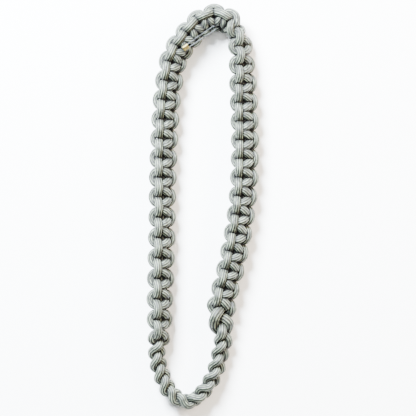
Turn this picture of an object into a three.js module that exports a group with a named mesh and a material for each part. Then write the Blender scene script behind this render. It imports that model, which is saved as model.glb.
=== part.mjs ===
// A knotted shoulder cord, lying flat. All lengths are in millimetres, all angles in degrees
// unless a name says radians. +X is to the right, +Y is up the loop and +Z is away from the table.
import * as THREE from "three";

// The whole loop
const LOOP_HEIGHT = 380; // the top of the route to its bottom end, between the outer edges
const CORD = 6; // thickness of each of the three braided cords
const GAP = 0.75; // air between two cords where they press on each other
const SIDES = 5; // flat faces round a cord
const ROUNDNESS = 1.13; // corners of those faces stand this much out of the round cord
const STEPS = 4; // points of a cord's line for each ring of its surface
const STRETCH = [-2, -1, 0, 1, 2]; // points beside a ring whose room it takes the least of
const OWN_REACH = 7; // points of one line too close along it to press on each other

// The square knots, in shares of the cord's thickness
const KNOT_PITCH = 2.94; // travel of one full knot, two half knots
const EDGE_REACH = 1.45; // from the centre cord to the side loops, along the section's edge
const BAR_REACH = 0.98; // from the centre cord to the bars that cross its faces
const LOOP_SINK = 0.8; // side loops lie this far towards the other face
const BAR_SLANT = 0.76; // how far a bar's ends run past each other
const KNOT_RINGS = 13; // rings of the surface in one full knot
const CORE_RINGS = 2.5; // and of the centre cord, which is straight there

// Where the knots sit along the bar: they are packed closer round the tight bend at the top.
const KNOT_SPACING = [
  { made: 0, along: 0 },
  { made: 0.203, along: 0.221 },
  { made: 0.406, along: 0.43 },
  { made: 0.565, along: 0.564 },
  { made: 1, along: 1 },
];

// The plait of the same three cords
const PLAIT_SHARE = 0.2215; // of the loop's length
const PLAIT_TURNS = 4.5; // full periods, always a whole number and a half
const PLAIT_EDGE = 0.84; // swing of each cord to the edges, in cord thicknesses
const PLAIT_FACE = 0.6; // swing of each cord to the faces
const SLACK_EDGE = 0.8; // part by which the first swing to the edges is wider
const SLACK_TURNS = 0.5; // the stretch over which that fades
const PLAIT_START = 0.06; // share of the loop over which the knots' lift fades into the plait's
const PLAIT_END = 0.04; // and the plait's back into the knots'
const LEAST_FACE = 0.1; // part of the face swing that counts when the section stands on edge
const PLAIT_RINGS = 11; // rings of the surface in one period

// The plait starts slack, so its first turn is the longest.
const PLAIT_SPACING = [
  { made: 0, along: 0 },
  { made: 0.11, along: 0.15 },
  { made: 0.5, along: 0.54 },
  { made: 1, along: 1 },
];

// How wide the section is on its way round the loop, against its normal width.
const SWELL = [
  { along: 0, width: 0.8 },
  { along: 0.03, width: 1 },
  { along: 0.777, width: 1 },
  { along: 0.788, width: 1.2 },
  { along: 0.8, width: 1.2 },
  { along: 0.822, width: 1 },
  { along: 0.985, width: 1 },
  { along: 1, width: 0.8 },
];

// The route of the loop's middle line, clockwise from the join at the lower left:
// across and up, as shares of the loop's height from its middle.
const ROUTE = [
  { across: -0.109, up: -0.326 },
  { across: -0.106, up: -0.22 },
  { across: -0.102, up: -0.09 },
  { across: -0.1, up: 0.04 },
  { across: -0.096, up: 0.165 },
  { across: -0.087, up: 0.287 },
  { across: -0.07, up: 0.373 },
  { across: -0.043, up: 0.416 },
  { across: -0.014, up: 0.45 },
  { across: 0.009, up: 0.465 },
  { across: 0.032, up: 0.47 },
  { across: 0.057, up: 0.465 },
  { across: 0.077, up: 0.443 },
  { across: 0.091, up: 0.408 },
  { across: 0.096, up: 0.356 },
  { across: 0.101, up: 0.267 },
  { across: 0.104, up: 0.155 },
  { across: 0.1, up: 0.043 },
  { across: 0.09, up: -0.043 },
  { across: 0.072, up: -0.135 },
  { across: 0.051, up: -0.22 },
  { across: 0.043, up: -0.269 },
  { across: 0.051, up: -0.319 },
  { across: 0.042, up: -0.364 },
  { across: 0.029, up: -0.408 },
  { across: 0.005, up: -0.449 },
  { across: -0.036, up: -0.479 },
  { across: -0.077, up: -0.46 },
  { across: -0.1, up: -0.418 },
  { across: -0.114, up: -0.366 },
];

// How far the section leans from edge-up at the start of the route, and where it turns
// on its way round, in shares of the route's length.
const START_LEAN = 33;
const TURNS = [
  { from: 0, to: 0.1, degrees: 12 },
  { from: 0.15, to: 0.27, degrees: 12 },
  { from: 0.412, to: 0.458, degrees: -80 },
  { from: 0.445, to: 0.54, degrees: -37 },
  { from: 0.79, to: 0.98, degrees: 93 },
];

// The safety pin on the inner side of the bend: where its coil and its head sit, along the
// loop as a share of its length, and across the section in cord thicknesses.
const PIN_COIL_SEAT = { along: 0.4085, edge: -0.88, face: 1.6 };
const PIN_HEAD_SEAT = { along: 0.3541, edge: 0.4, face: 1.74 };
const PIN_WIRE = 1; // thickness of the wire
const PIN_WIDTH = 3.4; // between the middles of the two arms
const PIN_TURNS = 1.5; // of wire in the coil, so that both arms leave it the same way
const COIL_RISE = 0.95; // the arms leave the coil this many wires above and below its middle
const PIN_SIDES = 6;
const PIN_STEPS = 36; // lengths of straight wire that follow the bends
const HEAD_LENGTH = 6;
const HEAD_WIDTH = 5;
const HEAD_SHEET = 0.6; // thickness of the folded sheet
const HEAD_CLEARANCE = 0.35; // air round the arms inside the fold
const ARM_IN_HEAD = 3.5; // how far the arms reach into it
const ARM_SPLAY = 0.12; // how far apart in height the arms still are there

const UP = new THREE.Vector3(0, 0, 1);
const route = new THREE.CatmullRomCurve3(
  ROUTE.map((p) => new THREE.Vector3(p.across * LOOP_HEIGHT, p.up * LOOP_HEIGHT, 0)),
  true,
);
route.arcLengthDivisions = 3000;
const loopLength = route.getLength();
const plaitLength = loopLength * PLAIT_SHARE;
const barLength = loopLength - plaitLength;
const knots = Math.round(barLength / (KNOT_PITCH * CORD) + 0.5);

// Reads a table between its rows.
function readTable(table, from, to, value) {
  let i = 1;
  while (i < table.length - 1 && table[i][from] < value) i++;
  const [low, high] = [table[i - 1], table[i]];
  const part = (value - low[from]) / (high[from] - low[from]);
  return THREE.MathUtils.lerp(low[to], high[to], part);
}

function leanAt(share) {
  let lean = START_LEAN;
  for (const turn of TURNS) lean += turn.degrees * THREE.MathUtils.smoothstep(share, turn.from, turn.to);
  return THREE.MathUtils.degToRad(lean);
}

// The height of the middle line that lets the section rest on the table.
function heightAt(share, lean) {
  const plaitFrom = 1 - PLAIT_SHARE;
  const inPlait = THREE.MathUtils.smoothstep(share, plaitFrom, plaitFrom + PLAIT_START) -
    THREE.MathUtils.smoothstep(share, 1 - PLAIT_END, 1);
  const edge = THREE.MathUtils.lerp(EDGE_REACH, PLAIT_EDGE, inPlait);
  const face = THREE.MathUtils.lerp(LOOP_SINK, PLAIT_FACE, inPlait);
  return CORD * (edge * Math.cos(lean) + face * Math.hypot(Math.sin(lean), LEAST_FACE)) + CORD / 2;
}

// A point of the loop's section: along counts from the join at the lower left, edge and face
// are measured from the middle line.
function place(along, edge, face) {
  const share = THREE.MathUtils.euclideanModulo(along / loopLength, 1);
  const middle = route.getPointAt(share);
  const travel = route.getTangentAt(share);
  const outward = new THREE.Vector3().crossVectors(UP, travel);
  const lean = leanAt(share);
  const width = readTable(SWELL, "along", "width", share);
  middle.z = heightAt(share, lean);
  return middle
    .addScaledVector(UP, width * (edge * Math.cos(lean) + face * Math.sin(lean)))
    .addScaledVector(outward, width * (edge * Math.sin(lean) - face * Math.cos(lean)));
}

// How far along the loop a number of knots reaches, and a number of plait turns after them.
function afterKnots(count) {
  return barLength * readTable(KNOT_SPACING, "made", "along", count / (knots - 0.5));
}

function afterTurns(count) {
  return barLength + plaitLength * readTable(PLAIT_SPACING, "made", "along", count / PLAIT_TURNS);
}

// One knotting cord's place in the bar. Its phase runs through a full circle in each knot.
function knottedPlace(phase, side, lag) {
  const along = afterKnots(phase / (2 * Math.PI) + lag) + Math.sin(2 * phase) * BAR_SLANT * CORD;
  const swing = (BAR_REACH - LOOP_SINK - (BAR_REACH + LOOP_SINK) * Math.cos(2 * phase)) / 2;
  return place(along, EDGE_REACH * CORD * Math.cos(phase), side * CORD * swing);
}

function plaitedPlace(turn, lag) {
  const phase = 2 * Math.PI * (turn + lag);
  const slack = SLACK_EDGE * (1 - THREE.MathUtils.smoothstep(turn, 0, SLACK_TURNS));
  const edge = PLAIT_EDGE * CORD * Math.sin(phase) * (1 + slack);
  const face = -PLAIT_FACE * CORD * Math.sin(2 * phase);
  return place(afterTurns(turn), edge, face);
}

// The knotted part of a cord, ring by ring.
function knottedRings(start, side, lag) {
  const rings = [];
  for (let i = 0; i <= (knots - 0.5) * KNOT_RINGS; i++)
    rings.push(knottedPlace(start + (2 * Math.PI * i) / KNOT_RINGS, side, lag));
  return rings;
}

// The centre cord runs straight through the knots.
function straightRings() {
  const count = Math.round((knots - 0.5) * CORE_RINGS);
  const rings = [];
  for (let i = 0; i <= count; i++) rings.push(place((barLength * i) / count, 0, 0));
  return rings;
}

// The plaited part of a cord, which stops a little short of the knots at both ends.
function plaitedRings(lag) {
  const rings = [];
  for (let i = 1; i < PLAIT_TURNS * PLAIT_RINGS; i++) rings.push(plaitedPlace(i / PLAIT_RINGS, lag));
  return rings;
}

// Every cord is one closed ring: knotted or straight through the bar, then plaited.
const ringCentres = {
  front_cord: [...knottedRings(0, 1, 0), ...plaitedRings(2 / 3)],
  back_cord: [...knottedRings(-Math.PI, -1, 0.5), ...plaitedRings(1 / 3)],
  core_cord: [...straightRings(), ...plaitedRings(0)],
};

// A smooth closed line through a cord's ring centres, with STEPS points for each.
function lineThrough(rings) {
  return new THREE.CatmullRomCurve3(rings, true).getPoints(rings.length * STEPS).slice(0, -1);
}

const lines = {};
for (const [name, rings] of Object.entries(ringCentres)) lines[name] = lineThrough(rings);

// Directions across a closed line that turn as little as they can, the leftover shared out.
function ringFrames(points) {
  const count = points.length;
  const travels = points.map((_, i) =>
    points[(i + 1) % count].clone().sub(points[(i + count - 1) % count]).normalize(),
  );
  const across = [new THREE.Vector3().crossVectors(UP, travels[0]).normalize()];
  for (let i = 1; i <= count; i++) {
    const turn = new THREE.Quaternion().setFromUnitVectors(travels[i - 1], travels[i % count]);
    across.push(across[i - 1].clone().applyQuaternion(turn));
  }
  const last = across[count];
  const side = new THREE.Vector3().crossVectors(travels[0], across[0]);
  const leftover = Math.atan2(last.dot(side), last.dot(across[0]));
  return travels.map((travel, i) => ({
    across: across[i].applyAxisAngle(travel, (-leftover * i) / count),
    travel,
  }));
}

// A cord is round where it is free. Where another stretch of cord lies near, both are pressed
// flat on the plane half way between them, less half the gap.
function pressedRadius(centre, direction, near) {
  let radius = (ROUNDNESS * CORD) / 2;
  for (const other of near) {
    const lean = direction.dot(other) / other.length();
    if (lean > 0) radius = Math.min(radius, (other.length() - GAP) / 2 / lean);
  }
  return radius;
}

// Points of all cords near one point of a line, as seen from it.
function nearby(name, index) {
  const centre = lines[name][index];
  const near = [];
  for (const [other, line] of Object.entries(lines))
    line.forEach((point, i) => {
      const apart = Math.abs(i - index);
      if (other === name && Math.min(apart, line.length - apart) < OWN_REACH) return;
      if (point.distanceTo(centre) < 2 * CORD) near.push(point.clone().sub(centre));
    });
  return near;
}

function cordSurface(name) {
  const line = lines[name];
  const rings = ringCentres[name];
  const frames = ringFrames(rings);
  const positions = [];
  rings.forEach((centre, i) => {
    const { across, travel } = frames[i];
    const stretch = STRETCH.map((k) => (i * STEPS + k + line.length) % line.length);
    const rooms = stretch.map((k) => ({ centre: line[k], near: nearby(name, k) }));
    for (let side = 0; side < SIDES; side++) {
      const direction = across.clone().applyAxisAngle(travel, (2 * Math.PI * side) / SIDES);
      const radii = rooms.map((room) => pressedRadius(room.centre, direction, room.near));
      positions.push(...centre.clone().addScaledVector(direction, Math.min(...radii)));
    }
  });
  const faces = [];
  for (let i = 0; i < rings.length; i++)
    for (let side = 0; side < SIDES; side++) {
      const next = (i + 1) % rings.length;
      const beside = (side + 1) % SIDES;
      const a = i * SIDES + side;
      const b = i * SIDES + beside;
      const c = next * SIDES + beside;
      const d = next * SIDES + side;
      faces.push(a, b, c, a, c, d);
    }
  const surface = new THREE.BufferGeometry();
  surface.setAttribute("position", new THREE.Float32BufferAttribute(positions, 3));
  surface.setIndex(faces);
  surface.computeVertexNormals();
  return surface;
}

// The pin's wire: one arm, the coil and the other arm.
class PinWire extends THREE.Curve {
  constructor(arm) {
    super();
    this.arm = arm;
  }

  getPoint(share, target = new THREE.Vector3()) {
    const radius = PIN_WIDTH / 2;
    const coil = 2 * Math.PI * radius * PIN_TURNS;
    const gone = share * (2 * this.arm + coil);
    const turned = THREE.MathUtils.clamp(gone - this.arm, 0, coil);
    const angle = Math.PI / 2 + turned / radius;
    const arm = Math.max(this.arm - gone, gone - this.arm - coil, 0);
    const level = 1 - arm / this.arm;
    const rise = PIN_WIRE * COIL_RISE * level * (1 - (2 * turned) / coil);
    return target.set(arm + radius * Math.cos(angle), radius * Math.sin(angle), rise);
  }
}

function pinWire(arm) {
  const section = new THREE.Shape();
  for (let i = 0; i < PIN_SIDES; i++) {
    const angle = (2 * Math.PI * i) / PIN_SIDES;
    const corner = [(PIN_WIRE / 2) * Math.cos(angle), (PIN_WIRE / 2) * Math.sin(angle)];
    if (i === 0) section.moveTo(...corner);
    else section.lineTo(...corner);
  }
  return new THREE.ExtrudeGeometry(section, { steps: PIN_STEPS, extrudePath: new PinWire(arm) });
}

// The head is a strip of sheet folded over the ends of both arms.
function pinHead() {
  const inner = PIN_WIRE / 2 + ARM_SPLAY + HEAD_CLEARANCE;
  const outer = inner + HEAD_SHEET;
  const fold = HEAD_LENGTH - outer;
  const profile = new THREE.Shape();
  profile.moveTo(0, -outer);
  profile.absarc(fold, 0, outer, -Math.PI / 2, Math.PI / 2, false);
  profile.lineTo(0, outer);
  profile.lineTo(0, inner);
  profile.absarc(fold, 0, inner, Math.PI / 2, -Math.PI / 2, true);
  profile.lineTo(0, -inner);
  const head = new THREE.ExtrudeGeometry(profile, {
    depth: HEAD_WIDTH,
    bevelEnabled: false,
    curveSegments: 8,
  });
  return head.rotateX(Math.PI / 2).translate(0, HEAD_WIDTH / 2, 0);
}

// Both pieces are drawn from the coil towards the head, then laid on the cords.
function pinMeshes() {
  const seat = (at) => place(at.along * loopLength, at.edge * CORD, at.face * CORD);
  const coil = seat(PIN_COIL_SEAT);
  const head = seat(PIN_HEAD_SEAT);
  const middle = (PIN_COIL_SEAT.along + PIN_HEAD_SEAT.along) / 2;
  const away = place(middle * loopLength, 0, CORD).sub(place(middle * loopLength, 0, 0));
  const length = head.distanceTo(coil);
  const forward = head.clone().sub(coil).normalize();
  const side = new THREE.Vector3().crossVectors(away, forward).normalize();
  const out = new THREE.Vector3().crossVectors(forward, side);
  const laid = new THREE.Matrix4().makeBasis(forward, side, out).setPosition(coil);
  const mouth = length - HEAD_LENGTH;
  const wire = new THREE.Mesh(pinWire(mouth + ARM_IN_HEAD).applyMatrix4(laid), steel);
  const cap = new THREE.Mesh(pinHead().translate(mouth, 0, 0).applyMatrix4(laid), brass);
  wire.name = "pin_wire";
  cap.name = "pin_head";
  return [wire, cap];
}

const silver = new THREE.MeshStandardMaterial({ color: 0xc9ccc6, roughness: 0.75 });
const steel = new THREE.MeshStandardMaterial({ color: 0xb8bab8, roughness: 0.3, metalness: 1 });
const brass = new THREE.MeshStandardMaterial({ color: 0xd4b878, roughness: 0.35, metalness: 1 });

const loop = new THREE.Group();
for (const name of Object.keys(lines)) {
  const cord = new THREE.Mesh(cordSurface(name), silver);
  cord.name = name;
  loop.add(cord);
}
loop.add(...pinMeshes());

// Set down on the table, with its outer edges centred.
const reach = new THREE.Box3().setFromObject(loop);
const centre = reach.getCenter(new THREE.Vector3());
loop.position.set(-centre.x, -centre.y, -reach.min.z);

export default loop;
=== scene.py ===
# A knotted shoulder cord on a pale floor, seen from straight above. Shapes are worked out in
# millimetres in the loop's own frame and moved into the row frame, in metres, as they are made.
import math

import bpy
import numpy as np
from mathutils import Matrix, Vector


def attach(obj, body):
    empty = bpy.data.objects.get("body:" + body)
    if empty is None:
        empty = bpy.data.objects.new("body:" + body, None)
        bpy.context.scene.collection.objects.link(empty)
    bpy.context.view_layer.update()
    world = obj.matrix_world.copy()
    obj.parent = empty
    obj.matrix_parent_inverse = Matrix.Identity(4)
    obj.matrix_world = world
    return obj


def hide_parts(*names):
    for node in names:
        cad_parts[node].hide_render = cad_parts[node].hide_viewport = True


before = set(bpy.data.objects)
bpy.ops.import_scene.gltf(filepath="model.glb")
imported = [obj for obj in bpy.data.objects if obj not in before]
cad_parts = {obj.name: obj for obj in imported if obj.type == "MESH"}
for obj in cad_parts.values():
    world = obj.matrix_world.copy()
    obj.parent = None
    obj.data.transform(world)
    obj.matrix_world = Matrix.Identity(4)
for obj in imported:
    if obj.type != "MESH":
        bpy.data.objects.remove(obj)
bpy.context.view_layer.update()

MM = 0.001

# The loop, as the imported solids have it. Edge is measured across the band and face square to it, in
# cord thicknesses. Shares are of the whole loop, from the first knot on.
LOOP_HEIGHT = 380.0
LOOP_SHIFT = np.array([0.624, -1.368, 0.362])  # from the loop's own frame to the row frame
CORD = 6.0
EDGE_REACH = 1.45  # from the middle to the knots' outer loops
BAR_REACH = 0.98  # from the middle to a bar, on the bar's own face
LOOP_SINK = 0.8  # from the middle to the outer loops, on the other face
BAR_SLANT = 0.76  # how far along a bar slants to each side
KNOTS = 35
KNOT_RINGS = 14  # points for a knot
CORE_RINGS = 3  # and for as much of the straight core
KNOT_SPACING = [(0, 0), (0.203, 0.221), (0.406, 0.43), (0.565, 0.564), (1, 1)]  # share made, share along
PLAIT_SHARE = 0.2215  # the rest is knotted
PLAIT_TURNS = 4.5
PLAIT_EDGE = 0.84  # from the middle to the strands at the edge
PLAIT_FACE = 0.6  # from the middle to a strand that crosses over
SLACK_EDGE = 0.8  # part by which the plait starts wider
SLACK_TURNS = 0.5  # and the turns over which that ends
PLAIT_START = 0.06  # share over which the knotted band goes over into the plait
PLAIT_END = 0.04  # and back
LEAST_FACE = 0.1  # keeps the height smooth where the band stands on edge
PLAIT_RINGS = 12  # points for a turn of the plait
PLAIT_SPACING = [(0, 0), (0.11, 0.15), (0.5, 0.54), (1, 1)]  # share made, share along
SWELL = [  # share of the loop, and how wide the section is there
    (0, 0.8), (0.03, 1), (0.777, 1), (0.788, 1.2), (0.8, 1.2), (0.822, 1), (0.985, 1), (1, 0.8),
]
ROUTE_STEPS = 100  # points of the smooth line for each point of the route
CORD_STEPS = 10  # and for each point of a cord
ROUTE = [  # across and up, as shares of the loop's height
    (-0.109, -0.326), (-0.106, -0.22), (-0.102, -0.09), (-0.1, 0.04), (-0.096, 0.165),
    (-0.087, 0.287), (-0.07, 0.373), (-0.043, 0.416), (-0.014, 0.45), (0.009, 0.465),
    (0.032, 0.47), (0.057, 0.465), (0.077, 0.443), (0.091, 0.408), (0.096, 0.356),
    (0.101, 0.267), (0.104, 0.155), (0.1, 0.043), (0.09, -0.043), (0.072, -0.135),
    (0.051, -0.22), (0.043, -0.269), (0.051, -0.319), (0.042, -0.364), (0.029, -0.408),
    (0.005, -0.449), (-0.036, -0.479), (-0.077, -0.46), (-0.1, -0.418), (-0.114, -0.366),
]
START_LEAN = 33.0  # degrees from standing on edge
TURNS = [  # from and to along the loop, and the degrees by which the lean changes there
    (0, 0.1, 12), (0.15, 0.27, 12), (0.412, 0.458, -80), (0.445, 0.54, -37), (0.79, 0.98, 93),
]

# The surface of a cord
FREE_RADIUS = 3.7  # where nothing presses on it
FILL_INWARD = 0.36  # part by which a cord swells towards the middle of the section to fill it
FILL_PLAIT = 0.5  # and in the plait
FILL_FROM = 0.9  # a cord nearer to the middle than this doesn't swell towards it
FILL_RANGE = 3.0  # and one that is this much farther off swells in full
CORE_WIDE = 0.75  # part by which the straight core is wider across the section
CORE_NEAR = 1.5  # the core is nearer to the middle than this
OWN_GAP = -0.4  # less than nothing, so that two stretches of one cord close up and no light shows through
CORD_GAP = -0.25  # the same for two cords that press on each other
SLACK_FAT = 0.32  # part by which the cords are fuller where the plait starts slack
SLACK_AT = 10.0  # that far past the last knot
SLACK_LENGTH = 15.0
MIDDLE_POINTS = 2400  # points of the loop's middle line among which a cord finds the nearest
RING_SPACING = 1.17  # along a cord
RING_SIDES = 40
OWN_REACH = 9.5  # lengths of one cord closer along it than this don't press on each other
PRESS_REACH = 2.2 * CORD  # cords whose middle lines are farther apart than this don't either
PRESS_SOFTNESS = 10  # how square the corner between a round and a pressed side is
BEND_ROOM = 0.97  # share of a bend's radius that the cord may fill
LEAST_FACING = 0.02  # a direction that slopes less than this towards a wall doesn't reach it
FAR_OFF = 1000.0
LEAST_FAR = 0.1  # keeps directions to a point defined when the point is right here
TINY = 1e-9
CREASE_WIDTH = (2.6, 1.4)  # of the painted shade along a stretch of the same cord, along another cord
CREASE_DARK = (1.0, 0.8)  # and how dark it is
CROWD_REACH = 9.0  # cords nearer than this keep light from a point of the surface, which gets painted shade
CROWD_BEHIND = 0.1  # how far behind the surface a cord may lie and still count
CROWD_LOW = 0.0  # crowding at which the painted shade starts
CROWD_HIGH = 0.8  # and at which it is fully dark
YARNS = 10  # ridges round a cord, drawn coarser than the real ones so that they show at this size
YARN_DEPTH = 0.2  # depth of the valleys between them, as a share of the radius
YARN_ROUND = 0.7  # below 1 the ridges are broad and the valleys narrow

# The safety pin: seats along the loop (a share of its length) and across the section
COIL_SEAT = (0.4085, -0.88, 1.6)  # edge and face in cord thicknesses
HEAD_SEAT = (0.3541, 0.4, 1.74)
PIN_WIRE = 1.0  # thickness
PIN_WIDTH = 3.4  # from arm to arm
PIN_TURNS = 1.5
COIL_RISE = 0.95  # in wire thicknesses
PIN_SIDES = 14
ARM_POINTS = 24
COIL_POINTS = 49
POINT_TAPER = 3.0  # the point gets thicker over this length
POINT_BLUNT = 0.3  # from this share of the wire's radius on
END_RADIUS = 0.02  # of the wire where it is closed off
HEAD_LENGTH = 6.0  # from the mouth, where the arms go in, to the closed end
HEAD_WIDTH = 5.0
HEAD_SHEET = 0.6  # thickness of the sheet
HEAD_INSIDE = 0.97  # half the height of the fold inside
HEAD_SIDES = 40
HEAD_STEPS = 4  # rows of the mesh for each row of the table
HEAD_SQUARE = (0.45, 0.6)  # below 1 the section is squarer than an ellipse, across and upwards
HEAD_WAIST = 0.3  # part by which the head is pressed in between the arms
WAIST_WIDTH = 0.9  # half the width over which that is done
ARM_IN_HEAD = 3.5  # length of each arm that lies inside the head
HEAD_ROWS = [  # share of the length from the mouth, width and height, from the inside out
    (0.46, 0.02, 0.02), (0.46, 0.8, 0.6), (0.21, 0.84, 0.68), (0.02, 0.86, 0.7), (0, 0.93, 0.82),
    (0.015, 0.98, 0.95), (0.06, 1, 1), (0.29, 1, 0.97), (0.57, 1, 0.97), (0.8, 1, 1),
    (0.886, 0.97, 0.96), (0.943, 0.9, 0.85), (0.979, 0.78, 0.66), (0.996, 0.5, 0.36), (1, 0.02, 0.02),
]

# The camera: the photograph is 416 pixels wide, and one of them is this many millimetres
PIXEL = 0.943
PICTURE = 416
PICTURE_MIDDLE = (4.715, 0.0)  # in the loop's own frame
CAMERA_HEIGHT = 3.0  # in metres
SENSOR = 36
VIEW_END = 20  # in metres

# The stage: a pale floor, a cool window beyond the top of the loop, a ceiling, and a wall that gives
# back warmer light
FLOOR_SIZE = 4  # in metres
LIGHTS = [  # name, place and width in metres, watts, colour
    ("window", (-0.65, 1.2, 1.15), 0.8, 650, "e4eef8"),
    ("ceiling", (0, 0.2, 2.2), 1.6, 34, "ffffff"),
    ("bounce", (1.1, 0.3, 0.7), 0.9, 62, "ffead0"),
]
AIR_COLOUR = "f2f2ee"
AIR_LIGHT = 0.1

MATH = "ShaderNodeMath"
NOISE = "ShaderNodeTexNoise"
RAMP = "ShaderNodeValToRGB"


# Colours and nodes
def linear(hex_colour):
    """The linear colour of an sRGB hex string."""
    values = [int(hex_colour[i : i + 2], 16) / 255 for i in (0, 2, 4)]
    return [v / 12.92 if v <= 0.04045 else ((v + 0.055) / 1.055) ** 2.4 for v in values] + [1.0]


def add_node(tree, kind, inputs=(), **settings):
    """Adds a node with its settings. The inputs are in their order or by name, and each is a fixed
    value, another node, which stands for its first output, or one of a node's outputs."""
    node = tree.nodes.new(kind)
    for name, value in settings.items():
        setattr(node, name, value)
    for name, value in inputs.items() if isinstance(inputs, dict) else enumerate(inputs):
        source = value.outputs[0] if isinstance(value, bpy.types.Node) else value
        if isinstance(source, bpy.types.NodeSocket):
            tree.links.new(source, node.inputs[name])
        else:
            node.inputs[name].default_value = source
    return node


def new_material(name):
    """A material with no nodes yet, and its node tree."""
    material = bpy.data.materials.new(name)
    material.use_nodes = True
    material.node_tree.nodes.clear()
    return material, material.node_tree


# Braided cord of spun rayon. The yarns cross, so the eye gets small light and dark flecks, and ridges;
# the valleys between the ridges get painted shade. Spun yarn scatters the light: there is hardly any
# gloss, and a faint sheen.
# A real yarn is about 0.25 mm wide. The flecks are drawn coarser, so that they show at this size.
FLECK_LENGTH = 0.9 * MM
FLECKS_ROUND = 24
VALLEY_NARROW = 1.7  # above 1 the painted shade keeps to the bottom of a valley
TONE_DRIFT = 3.5 * MM  # a yarn's tone changes over about this length
TONE_STEP = 7.3  # takes each yarn's tone from another place in the noise
FIBRE_SIZE = 0.45 * MM
WEAR_SIZE = 11 * MM  # patches where the cord has paled with wear
TONE_START = -0.44  # the tone before its parts are added, each by its share
# the valleys' share darkens them as painted shade
TONE_SHARES = {"flecks": 0.16, "valley_shade": -2.0, "yarns": 1.3, "fibres": 0.8, "wear": 0.4}
CORD_TONES = [(0.2, "171916"), (1.0, "818c76")]  # darkest and lightest tone, and their colours
CORD_MIDDLE = (0.6, "31372d")
# near-black of the painted shade in creases and under other cords
PAINTED_SHADE_COLOUR = "020202"
CORD_ROUGH = (0.42, 0.5)  # in the open, and how much more in a crease


def rayon_cord():
    """The cords' finish, laid out along and round each cord."""
    material, tree = new_material("rayon_braid_spun_matte")
    layout = add_node(tree, "ShaderNodeUVMap", uv_map="cord")
    split = add_node(tree, "ShaderNodeSeparateXYZ", (layout,))
    along, turn = split.outputs[0], split.outputs[1]
    surface = add_node(tree, "ShaderNodeTexCoord").outputs["Object"]
    parts = {}
    # flecks where two sets of slanting yarns cross
    run = add_node(tree, MATH, (along, 2 * math.pi / FLECK_LENGTH), operation="MULTIPLY")
    lay = add_node(tree, MATH, (turn, 2 * math.pi * FLECKS_ROUND), operation="MULTIPLY")
    slants = [add_node(tree, MATH, (run, lay), operation=way) for way in ("ADD", "SUBTRACT")]
    waves = [add_node(tree, MATH, (slant,), operation="SINE") for slant in slants]
    parts["flecks"] = add_node(tree, MATH, waves, operation="MULTIPLY")
    # painted shade in the valleys between the ridges: 0 on a ridge and 1 in a valley
    ring = add_node(tree, MATH, (turn, 2 * math.pi * YARNS), operation="MULTIPLY")
    crest = add_node(tree, MATH, (ring,), operation="COSINE")
    low = add_node(tree, MATH, (crest, -0.5, 0.5), operation="MULTIPLY_ADD")
    parts["valley_shade"] = add_node(tree, MATH, (low, VALLEY_NARROW), operation="POWER")
    # each yarn has a tone of its own, which drifts along it
    number = add_node(tree, MATH, (turn, YARNS, 0.5), operation="MULTIPLY_ADD")
    yarn = add_node(tree, MATH, (number,), operation="FLOOR")
    apart = add_node(tree, MATH, (yarn, TONE_STEP), operation="MULTIPLY")
    drift = add_node(tree, MATH, (along, 1 / TONE_DRIFT), operation="MULTIPLY")
    place_in_noise = add_node(tree, "ShaderNodeCombineXYZ", (drift, apart))
    parts["yarns"] = add_node(tree, NOISE, {"Vector": place_in_noise, "Scale": 1.0, "Detail": 2.0})
    parts["fibres"] = add_node(
        tree, NOISE, {"Vector": surface, "Scale": 1 / FIBRE_SIZE, "Detail": 2.0}
    )
    parts["wear"] = add_node(
        tree, NOISE, {"Vector": surface, "Scale": 1 / WEAR_SIZE, "Detail": 3.0}
    )
    tone = TONE_START
    for part, share in TONE_SHARES.items():
        tone = add_node(tree, MATH, (parts[part], share, tone), operation="MULTIPLY_ADD")
    ramp = add_node(tree, RAMP, (tone,))
    stops = ramp.color_ramp.elements
    for stop, (position, colour) in zip(stops, CORD_TONES):
        stop.position, stop.color = position, linear(colour)
    stops.new(CORD_MIDDLE[0]).color = linear(CORD_MIDDLE[1])
    # painted shade: where cords press on each other or stand over the surface, little light gets in,
    # so the colour is mixed towards near-black there; the inputs 6 and 7 are the two colours that are
    # mixed
    painted_shade_mask = add_node(tree, "ShaderNodeAttribute", attribute_name="painted_shade_mask").outputs["Fac"]
    colour = add_node(
        tree, "ShaderNodeMix", {0: painted_shade_mask, 6: ramp, 7: linear(PAINTED_SHADE_COLOUR)}, data_type="RGBA"
    )
    roughness = add_node(tree, MATH, (painted_shade_mask, CORD_ROUGH[1], CORD_ROUGH[0]), operation="MULTIPLY_ADD")
    relief = add_node(tree, MATH, (parts["flecks"], 0.5), operation="MULTIPLY")
    height = add_node(tree, MATH, (parts["fibres"], 0.6, relief), operation="MULTIPLY_ADD")
    bump = add_node(
        tree, "ShaderNodeBump", {"Height": height, "Strength": 0.6, "Distance": 0.16 * MM}
    )
    finish = {
        "Base Color": colour.outputs[2],
        "Roughness": roughness,
        "Normal": bump,
        "Specular IOR Level": 0.4,
        "Sheen Weight": 0.05,
        "Sheen Roughness": 0.5,
    }
    shader = add_node(tree, "ShaderNodeBsdfPrincipled", finish)
    add_node(tree, "ShaderNodeOutputMaterial", (shader,))
    return material


# Metal of the pin: drawn steel wire, and brass sheet that was cut and pressed. Handling leaves hairline
# scratches, which soften the gloss, and patches that have gone dull. The scratches are drawn coarser
# than real hairlines, so that they show at this size.
DULL_SIZE = 2.2 * MM
SCRATCH_SIZE = 0.17 * MM
DULL, BRIGHT = 0.35, 0.65  # places on the ramp
ROUGH_RANGE = 0.25  # between the smoothest and the dullest patch


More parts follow.
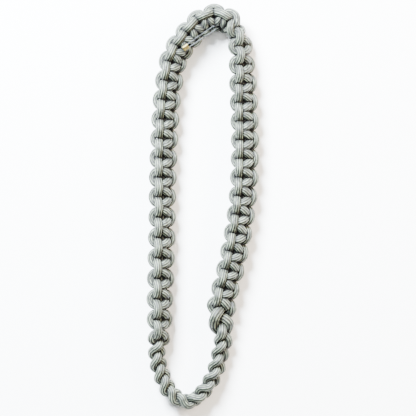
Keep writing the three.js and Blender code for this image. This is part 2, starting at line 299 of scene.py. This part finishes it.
def worn_metal(name, bright, dull, smoothest):
    """Metal with a bright colour, a duller one in patches, and the roughness of its smoothest patch."""
    material, tree = new_material(name)
    surface = add_node(tree, "ShaderNodeTexCoord").outputs["Object"]
    patches = add_node(tree, NOISE, {"Vector": surface, "Scale": 1 / DULL_SIZE, "Detail": 5.0})
    scratches = add_node(tree, NOISE, {"Vector": surface, "Scale": 1 / SCRATCH_SIZE, "Detail": 2.0})
    ramp = add_node(tree, RAMP, (patches,))
    tones = ((DULL, dull), (BRIGHT, bright))
    for stop, (position, colour) in zip(ramp.color_ramp.elements, tones):
        stop.position, stop.color = position, linear(colour)
    rough = add_node(tree, MATH, (patches, ROUGH_RANGE, smoothest), operation="MULTIPLY_ADD")
    bump = add_node(
        tree, "ShaderNodeBump", {"Height": scratches, "Strength": 0.3, "Distance": 0.02 * MM}
    )
    finish = {"Base Color": ramp, "Roughness": rough, "Normal": bump, "Metallic": 1.0}
    shader = add_node(tree, "ShaderNodeBsdfPrincipled", finish)
    add_node(tree, "ShaderNodeOutputMaterial", (shader,))
    return material


def paper_floor():
    """Uncoated paper, rolled out smooth: an even pale ground without gloss."""
    material, tree = new_material("matte_paper_sweep")
    finish = {"Base Color": linear("fafaf8"), "Roughness": 0.9}
    shader = add_node(tree, "ShaderNodeBsdfPrincipled", finish)
    add_node(tree, "ShaderNodeOutputMaterial", (shader,))
    return material


# The loop's middle line
def closed_spline(points, per):
    """A smooth closed line through points, with so many steps for each."""
    p0, p1, p2, p3 = (np.roll(points, shift, axis=0) for shift in (1, 0, -1, -2))
    d0, d1, d2 = (
        np.sqrt(np.linalg.norm(b - a, axis=1))[:, None] for a, b in ((p0, p1), (p1, p2), (p2, p3))
    )
    t1 = d1 * ((p1 - p0) / d0 - (p2 - p0) / (d0 + d1) + (p2 - p1) / d1)
    t2 = d1 * ((p2 - p1) / d1 - (p3 - p1) / (d1 + d2) + (p3 - p2) / d2)
    c2 = -3 * p1 + 3 * p2 - 2 * t1 - t2
    c3 = 2 * p1 - 2 * p2 + t1 + t2
    t = (np.arange(per) / per)[None, :, None]
    line = p1[:, None] + t * t1[:, None] + t**2 * c2[:, None] + t**3 * c3[:, None]
    return line.reshape(-1, 3)


def travelled(line):
    """Distance along a closed line at each of its points, and once round at the end."""
    steps = np.linalg.norm(np.roll(line, -1, axis=0) - line, axis=1)
    return np.concatenate([[0], np.cumsum(steps)])


def at_distance(line, distances):
    """Points of a closed line at these distances along it."""
    gone = travelled(line)
    whole = np.vstack([line, line[:1]])
    distances = np.mod(distances, gone[-1])
    return np.stack([np.interp(distances, gone, whole[:, k]) for k in range(3)], axis=1)


ROUTE_LINE = closed_spline(
    np.array([(across * LOOP_HEIGHT, up * LOOP_HEIGHT, 0) for across, up in ROUTE]), ROUTE_STEPS
)
LOOP_LENGTH = travelled(ROUTE_LINE)[-1]
HALF_STEP = 0.5  # to each side, where the line's direction is read
PLAIT_LENGTH = LOOP_LENGTH * PLAIT_SHARE
BAR_LENGTH = LOOP_LENGTH - PLAIT_LENGTH


def smoothstep(value, low, high):
    """0 up to low, 1 from high on, and a smooth step between them."""
    t = np.clip((value - low) / (high - low), 0, 1)
    return t * t * (3 - 2 * t)


def read_table(table, value):
    """The second column of a table where the first has this value."""
    rows = np.array(table, float)
    return np.interp(value, rows[:, 0], rows[:, 1])


def lean_at(share):
    """How far the band leans over from standing on edge."""
    lean = START_LEAN + sum(degrees * smoothstep(share, low, high) for low, high, degrees in TURNS)
    return np.radians(lean)


def height_at(share, lean):
    """Height of the band's middle, with its lowest cord on the floor."""
    start = 1 - PLAIT_SHARE
    plaited = smoothstep(share, start, start + PLAIT_START) - smoothstep(share, 1 - PLAIT_END, 1)
    edge = EDGE_REACH + (PLAIT_EDGE - EDGE_REACH) * plaited
    face = LOOP_SINK + (PLAIT_FACE - LOOP_SINK) * plaited
    return CORD * (edge * np.cos(lean) + face * np.hypot(np.sin(lean), LEAST_FACE)) + CORD / 2


def place(along, edge, face):
    """Points of the loop's section, where edge and face are measured from the middle line."""
    along, edge, face = np.broadcast_arrays(*(np.asarray(v, float) for v in (along, edge, face)))
    share = np.mod(along / LOOP_LENGTH, 1)
    middle = at_distance(ROUTE_LINE, along)
    travel = at_distance(ROUTE_LINE, along + HALF_STEP) - at_distance(ROUTE_LINE, along - HALF_STEP)
    travel /= np.linalg.norm(travel, axis=1)[:, None]
    up = np.array([0.0, 0.0, 1.0])
    outward = np.cross(up, travel)
    lean = lean_at(share)
    width = read_table(SWELL, share)
    middle[:, 2] = height_at(share, lean)
    rise = (width * (edge * np.cos(lean) + face * np.sin(lean)))[:, None]
    out = (width * (edge * np.sin(lean) - face * np.cos(lean)))[:, None]
    return middle + up * rise + outward * out


# The three cords' own middle lines
def knotted(start, side, lag):
    """A knotting cord: from edge to edge, with a bar over its own face and its loops sunk behind."""
    count = int((KNOTS - 0.5) * KNOT_RINGS) + 1
    phase = start + 2 * np.pi * np.arange(count) / KNOT_RINGS
    made = (phase / (2 * np.pi) + lag) / (KNOTS - 0.5)
    along = BAR_LENGTH * read_table(KNOT_SPACING, made) + np.sin(2 * phase) * BAR_SLANT * CORD
    swing = (BAR_REACH - LOOP_SINK - (BAR_REACH + LOOP_SINK) * np.cos(2 * phase)) / 2
    return place(along, EDGE_REACH * CORD * np.cos(phase), side * CORD * swing)


def straight():
    """The core inside the knots."""
    count = round((KNOTS - 0.5) * CORE_RINGS)
    return place(BAR_LENGTH * np.arange(count + 1) / count, 0, 0)


def plaited(lag):
    """A strand of the plait, wider at first, where the plait starts slack."""
    turn = np.arange(1, round(PLAIT_TURNS * PLAIT_RINGS)) / PLAIT_RINGS
    phase = 2 * np.pi * (turn + lag)
    along = BAR_LENGTH + PLAIT_LENGTH * read_table(PLAIT_SPACING, turn / PLAIT_TURNS)
    slack = 1 + SLACK_EDGE * (1 - smoothstep(turn, 0, SLACK_TURNS))
    edge = PLAIT_EDGE * CORD * np.sin(phase) * slack
    return place(along, edge, -PLAIT_FACE * CORD * np.sin(2 * phase))


def cord_lines():
    """Each cord's middle line, as evenly spaced points."""
    rings = {
        "front_cord": np.vstack([knotted(0, 1, 0), plaited(2 / 3)]),
        "back_cord": np.vstack([knotted(-math.pi, -1, 0.5), plaited(1 / 3)]),
        "core_cord": np.vstack([straight(), plaited(0)]),
    }
    lines = {}
    for name, centres in rings.items():
        line = closed_spline(centres, CORD_STEPS)
        length = travelled(line)[-1]
        count = round(length / RING_SPACING)
        lines[name] = at_distance(line, length * np.arange(count) / count)
    return lines


# Surfaces
def ring_frames(line):
    """Two directions across a closed line that turn as little as they can."""
    travel = np.roll(line, -1, axis=0) - np.roll(line, 1, axis=0)
    travel /= np.linalg.norm(travel, axis=1)[:, None]
    across = np.zeros_like(line)
    first = Vector((0, 0, 1)).cross(Vector(travel[0])).normalized()
    vector = first.copy()
    for i in range(len(line) + 1):
        here = Vector(travel[i % len(line)])
        if i:
            vector.rotate(Vector(travel[i - 1]).rotation_difference(here))
        if i < len(line):
            across[i] = vector
    side = Vector(travel[0]).cross(first)
    leftover = math.atan2(vector.dot(side), vector.dot(first))
    other = np.cross(travel, across)
    turn = -leftover * np.arange(len(line)) / len(line)
    turned = across * np.cos(turn)[:, None] + other * np.sin(turn)[:, None]
    return turned, np.cross(travel, turned)


def spokes(across, other, sides):
    """Directions round each ring of a line, and the angle of each."""
    angle = 2 * np.pi * np.arange(sides) / sides
    outward = across[:, None] * np.cos(angle)[:, None] + other[:, None] * np.sin(angle)[:, None]
    return outward, angle


def quad_mesh(name, points, closed):
    """A mesh of quads through points[ring, side] of the loop's frame. If it is closed, its last ring
    meets the first."""
    rings, sides = points.shape[:2]
    i, j = np.meshgrid(np.arange(rings if closed else rings - 1), np.arange(sides), indexing="ij")
    i2, j2 = (i + 1) % rings, (j + 1) % sides
    corners = [i * sides + j, i * sides + j2, i2 * sides + j2, i2 * sides + j]
    faces = np.stack(corners, axis=-1).reshape(-1, 4)
    points = (points + LOOP_SHIFT) * MM
    mesh = bpy.data.meshes.new(name)
    mesh.from_pydata(points.reshape(-1, 3).tolist(), [], faces.tolist())
    mesh.polygons.foreach_set("use_smooth", np.ones(len(faces), bool))
    mesh.update()
    piece = bpy.data.objects.new(name, mesh)
    bpy.context.scene.collection.objects.link(piece)
    return piece


def spacing_of(line):
    """Distance from one point of a closed, evenly spaced line to the next."""
    return travelled(line)[-1] / len(line)


def neighbours(name, lines):
    """For each point of a cord, the points of its own other stretches, and those of the other cords."""
    line = lines[name]
    own = round(OWN_REACH / spacing_of(line))
    others = np.vstack([lines[other] for other in lines if other != name])
    for i in range(len(line)):
        apart = np.abs(np.arange(len(line)) - i)
        yield line[np.minimum(apart, len(line) - apart) >= own], others


def room_to(wall, facing):
    """How far a direction goes until it meets a wall. Facing is its share towards the wall."""
    return np.where(facing > LEAST_FACING, wall / np.maximum(facing, LEAST_FACING), FAR_OFF)


def pressed_radii(name, lines, directions):
    """How far a cord reaches from its middle line in each direction before something presses on it."""
    line = lines[name]
    spacing = spacing_of(line)
    before, after = np.roll(line, 2, axis=0), np.roll(line, -2, axis=0)
    radii = np.full(directions.shape[:2], FAR_OFF)
    for i, (same, others) in enumerate(neighbours(name, lines)):
        near = np.vstack([same, others]) - line[i]
        gap = np.where(np.arange(len(near)) < len(same), OWN_GAP, CORD_GAP)
        far = np.linalg.norm(near, axis=1)
        close = far < PRESS_REACH
        near, far, gap = near[close], far[close], gap[close]
        if len(near):
            radii[i] = room_to((far - gap) / 2, directions[i] @ (near / far[:, None]).T).min(axis=1)
        # the inner side of its own bend
        bend = before[i] + after[i] - 2 * line[i]
        size = max(np.linalg.norm(bend), TINY)
        inside = room_to(BEND_ROOM * (2 * spacing) ** 2 / size, directions[i] @ (bend / size))
        radii[i] = np.minimum(radii[i], inside)
    height = (line[:, 2] + LOOP_SHIFT[2])[:, None]
    return np.minimum(radii, room_to(height, -directions[:, :, 2]))


def painted_shade(name, lines, surface, directions):
    """Painted shade: how much darker the surface is painted in creases and where other cords stand over
    it, as little light gets in there.
    """
    line = lines[name]
    weight = spacing_of(line) / CORD
    dark = np.zeros(surface.shape[:2])
    for i, stretches in enumerate(neighbours(name, lines)):
        crowd = np.zeros(surface.shape[1])
        for points, width, depth in zip(stretches, CREASE_WIDTH, CREASE_DARK):
            points = points[np.sum((points - line[i]) ** 2, axis=1) < (CROWD_REACH + CORD) ** 2]
            if not len(points):
                continue
            towards = points[None] - surface[i][:, None]
            far = np.linalg.norm(towards, axis=2)
            facing = np.einsum("jkl,jl->jk", towards, directions[i]) / np.maximum(far, LEAST_FAR)
            close = np.clip((CROWD_REACH - far) / (CROWD_REACH - CORD / 2), 0, 1)
            crowd += np.sum(np.clip(facing + CROWD_BEHIND, 0, 1) * close, axis=1) * weight
            painted_shade_mask = depth * (1 - smoothstep(far.min(axis=1) - FREE_RADIUS, 0, width))
            dark[i] = np.maximum(dark[i], painted_shade_mask)
        dark[i] = np.maximum(dark[i], smoothstep(crowd, CROWD_LOW, CROWD_HIGH))
    return dark


def free_radii(line, directions):
    """How far a cord would reach in each direction if nothing pressed on it."""
    along = np.linspace(0, LOOP_LENGTH, MIDDLE_POINTS, endpoint=False)
    middle = place(along, 0, 0)
    edgeways = place(along, 1, 0) - middle
    edgeways /= np.linalg.norm(edgeways, axis=1)[:, None]
    nearest = np.array([np.argmin(np.sum((middle - centre) ** 2, axis=1)) for centre in line])
    inward = middle[nearest] - line
    far = np.linalg.norm(inward, axis=1)[:, None]
    facing = np.einsum("ijk,ik->ij", directions, inward / np.maximum(far, LEAST_FAR))
    fill = np.where(along[nearest] > BAR_LENGTH - CORD, FILL_PLAIT, FILL_INWARD)[:, None]
    swollen = fill * np.clip(facing, 0, 1) * np.clip((far - FILL_FROM) / FILL_RANGE, 0, 1)
    wide = np.einsum("ijk,ik->ij", directions, edgeways[nearest]) ** 2
    wide *= CORE_WIDE * np.clip(CORE_NEAR - far, 0, 1)
    slack = np.linalg.norm(line - place([BAR_LENGTH + SLACK_AT], 0, 0), axis=1) / SLACK_LENGTH
    fuller = SLACK_FAT * np.exp(-(slack**2))[:, None]
    return FREE_RADIUS * (1 + fuller) * (1 + swollen + wide)


def braided_cord(name, lines):
    """A closed tube with ridges of yarn. It carries a layout along and round it, and its painted shade.
    """
    line = lines[name]
    directions, angle = spokes(*ring_frames(line), RING_SIDES)
    room, free = pressed_radii(name, lines, directions), free_radii(line, directions)
    radii = (free**-PRESS_SOFTNESS + room**-PRESS_SOFTNESS) ** (-1 / PRESS_SOFTNESS)
    for axis in (0, 1):
        radii = (np.roll(radii, 1, axis=axis) + 2 * radii + np.roll(radii, -1, axis=axis)) / 4
    # painted shade: darker in creases and where other cords stand over the surface
    dark = painted_shade(name, lines, line[:, None] + directions * radii[:, :, None], directions)
    ridges = 1 - YARN_DEPTH * (1 - np.abs(np.cos(YARNS * angle / 2)) ** YARN_ROUND)
    points = line[:, None] + directions * (radii * ridges)[:, :, None]
    piece = quad_mesh(name + "_braid", points, closed=True)
    i, j = np.meshgrid(np.arange(len(line)), np.arange(RING_SIDES), indexing="ij")
    along = np.stack([i, i, i + 1, i + 1], axis=-1) * (spacing_of(line) * MM)
    turn = np.stack([j, j + 1, j + 1, j], axis=-1) / RING_SIDES
    layout = piece.data.uv_layers.new(name="cord")
    layout.data.foreach_set("uv", np.stack([along, turn], axis=-1).astype(np.float32).ravel())
    shade = piece.data.attributes.new("painted_shade_mask", "FLOAT", "POINT")
    shade.data.foreach_set("value", dark.astype(np.float32).ravel())
    return piece


# The safety pin
def pin_axes():
    """Where the coil is, the length to the head's end, and the pin's three directions."""
    along, edge, face = (np.array(v) for v in zip(COIL_SEAT, HEAD_SEAT))
    coil, head = place(along * LOOP_LENGTH, edge * CORD, face * CORD)
    middle = along.mean() * LOOP_LENGTH
    away = (place([middle], 0, CORD) - place([middle], 0, 0))[0]
    length = np.linalg.norm(head - coil)
    forward = (head - coil) / length
    side = np.cross(away, forward)
    side /= np.linalg.norm(side)
    return coil, length, np.stack([forward, side, np.cross(forward, side)])


def pin_points(local):
    """Points in the pin's own directions, moved into the loop's frame."""
    coil, _, axes = pin_axes()
    return coil + local @ axes


def pin_line(arm):
    """The wire's middle line: one arm, the coil and the other arm."""
    radius = PIN_WIDTH / 2
    coil = 2 * math.pi * radius * PIN_TURNS
    there = np.linspace(0, arm, ARM_POINTS)
    back = arm + coil + there[1:]
    gone = np.concatenate([there, arm + np.linspace(0, coil, COIL_POINTS)[1:], back])
    turned = np.clip(gone - arm, 0, coil)
    angle = math.pi / 2 + turned / radius
    out = np.maximum(np.maximum(arm - gone, gone - arm - coil), 0)
    rise = PIN_WIRE * COIL_RISE * (1 - out / arm) * (1 - 2 * turned / coil)
    return np.stack([out + radius * np.cos(angle), radius * np.sin(angle), rise], axis=1)


def pin_wire():
    """Round wire along the pin's line. The end of one arm is ground to a point."""
    _, length, _ = pin_axes()
    line = pin_line(length - HEAD_LENGTH + ARM_IN_HEAD)
    travel = np.gradient(line, axis=0)
    travel /= np.linalg.norm(travel, axis=1)[:, None]
    across = np.cross(travel, [0.0, 0.0, 1.0])
    across /= np.linalg.norm(across, axis=1)[:, None]
    ring, _ = spokes(across, np.cross(travel, across), PIN_SIDES)
    left = np.linalg.norm(line - line[-1], axis=1)
    radius = PIN_WIRE / 2 * np.clip(POINT_BLUNT + left / POINT_TAPER, 0, 1)
    radius[0] = radius[-1] = END_RADIUS
    points = pin_points(line[:, None] + ring * radius[:, None, None])
    return quad_mesh("pin_wire_drawn", points, closed=False)


def pin_head():
    """A cap of folded sheet over both arms, rounded at its edges and pressed in between the arms."""
    _, length, _ = pin_axes()
    turn = 2 * np.pi * np.arange(HEAD_SIDES) / HEAD_SIDES
    far, wide, tall = smooth_rows(np.array(HEAD_ROWS), HEAD_STEPS).T
    across, high = (
        np.sign(wave) * np.abs(wave) ** power
        for wave, power in zip((np.cos(turn), np.sin(turn)), HEAD_SQUARE)
    )
    y = wide[:, None] * across[None, :] * HEAD_WIDTH / 2
    waist = 1 - HEAD_WAIST * np.exp(-((y / WAIST_WIDTH) ** 2))
    z = tall[:, None] * high[None, :] * (HEAD_INSIDE + HEAD_SHEET) * waist
    x = np.broadcast_to(far[:, None] * HEAD_LENGTH, y.shape) + length - HEAD_LENGTH
    return quad_mesh("pin_head_pressed", pin_points(np.stack([x, y, z], axis=2)), closed=False)


def smooth_rows(rows, per):
    """More rows between these ones, on a line that bends smoothly through them."""
    padded = np.vstack([rows[:1], rows, rows[-1:]])
    made = [rows[:1]]
    for i in range(len(rows) - 1):
        p0, p1, p2, p3 = padded[i : i + 4]
        t = np.arange(1, per + 1)[:, None] / per
        second = (2 * p0 - 5 * p1 + 4 * p2 - p3) * t**2
        third = (3 * p1 - p0 - 3 * p2 + p3) * t**3
        made.append(0.5 * (2 * p1 + (p2 - p0) * t + second + third))
    return np.vstack(made)


# The stage
def make_camera():
    """A camera straight above, at the photograph's scale."""
    data = bpy.data.cameras.new("camera")
    data.sensor_width = SENSOR
    data.lens = SENSOR * CAMERA_HEIGHT / (PICTURE * PIXEL * MM)
    data.clip_end = VIEW_END
    camera = bpy.data.objects.new("camera", data)
    across, up = ((PICTURE_MIDDLE[i] + LOOP_SHIFT[i]) * MM for i in (0, 1))
    camera.location = (across, up, CAMERA_HEIGHT)
    bpy.context.scene.collection.objects.link(camera)
    bpy.context.scene.camera = camera


def make_stage():
    """The floor, three round lights turned to the middle of it, and the light of the air."""
    bpy.ops.mesh.primitive_plane_add(size=FLOOR_SIZE)
    floor = bpy.context.object
    floor.name = "floor"
    floor.data.materials.append(paper_floor())
    for name, location, size, power, colour in LIGHTS:
        data = bpy.data.lights.new(name, "AREA")
        data.shape = "DISK"
        data.size = size
        data.energy = power
        data.color = linear(colour)[:3]
        light = bpy.data.objects.new(name, data)
        light.location = location
        light.rotation_euler = (-Vector(location)).to_track_quat("-Z", "Y").to_euler()
        bpy.context.scene.collection.objects.link(light)
    world = bpy.data.worlds.new("studio")
    bpy.context.scene.world = world
    world.use_nodes = True
    air = world.node_tree.nodes["Background"].inputs
    air["Color"].default_value = linear(AIR_COLOUR)
    air["Strength"].default_value = AIR_LIGHT


def dress(piece, node, material):
    """Gives a piece its material, puts it under the root body, and hides the solid that it stands for."""
    piece.data.materials.append(material)
    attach(piece, "root")
    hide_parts(node)


make_camera()
make_stage()
cords = cord_lines()
rayon = rayon_cord()
for node in cords:
    dress(braided_cord(node, cords), node, rayon)
# the steel's colours are set much darker than bare steel: painted shade, for the shade on the inner side
# of the loop's bend, where the wire lies
steel = worn_metal("steel_wire_darkened_as_shade", bright="4d5050", dull="262828", smoothest=0.28)
brass = worn_metal("brass_sheet_pressed", bright="b3a66c", dull="796d44", smoothest=0.36)
dress(pin_wire(), "pin_wire", steel)
dress(pin_head(), "pin_head", brass)
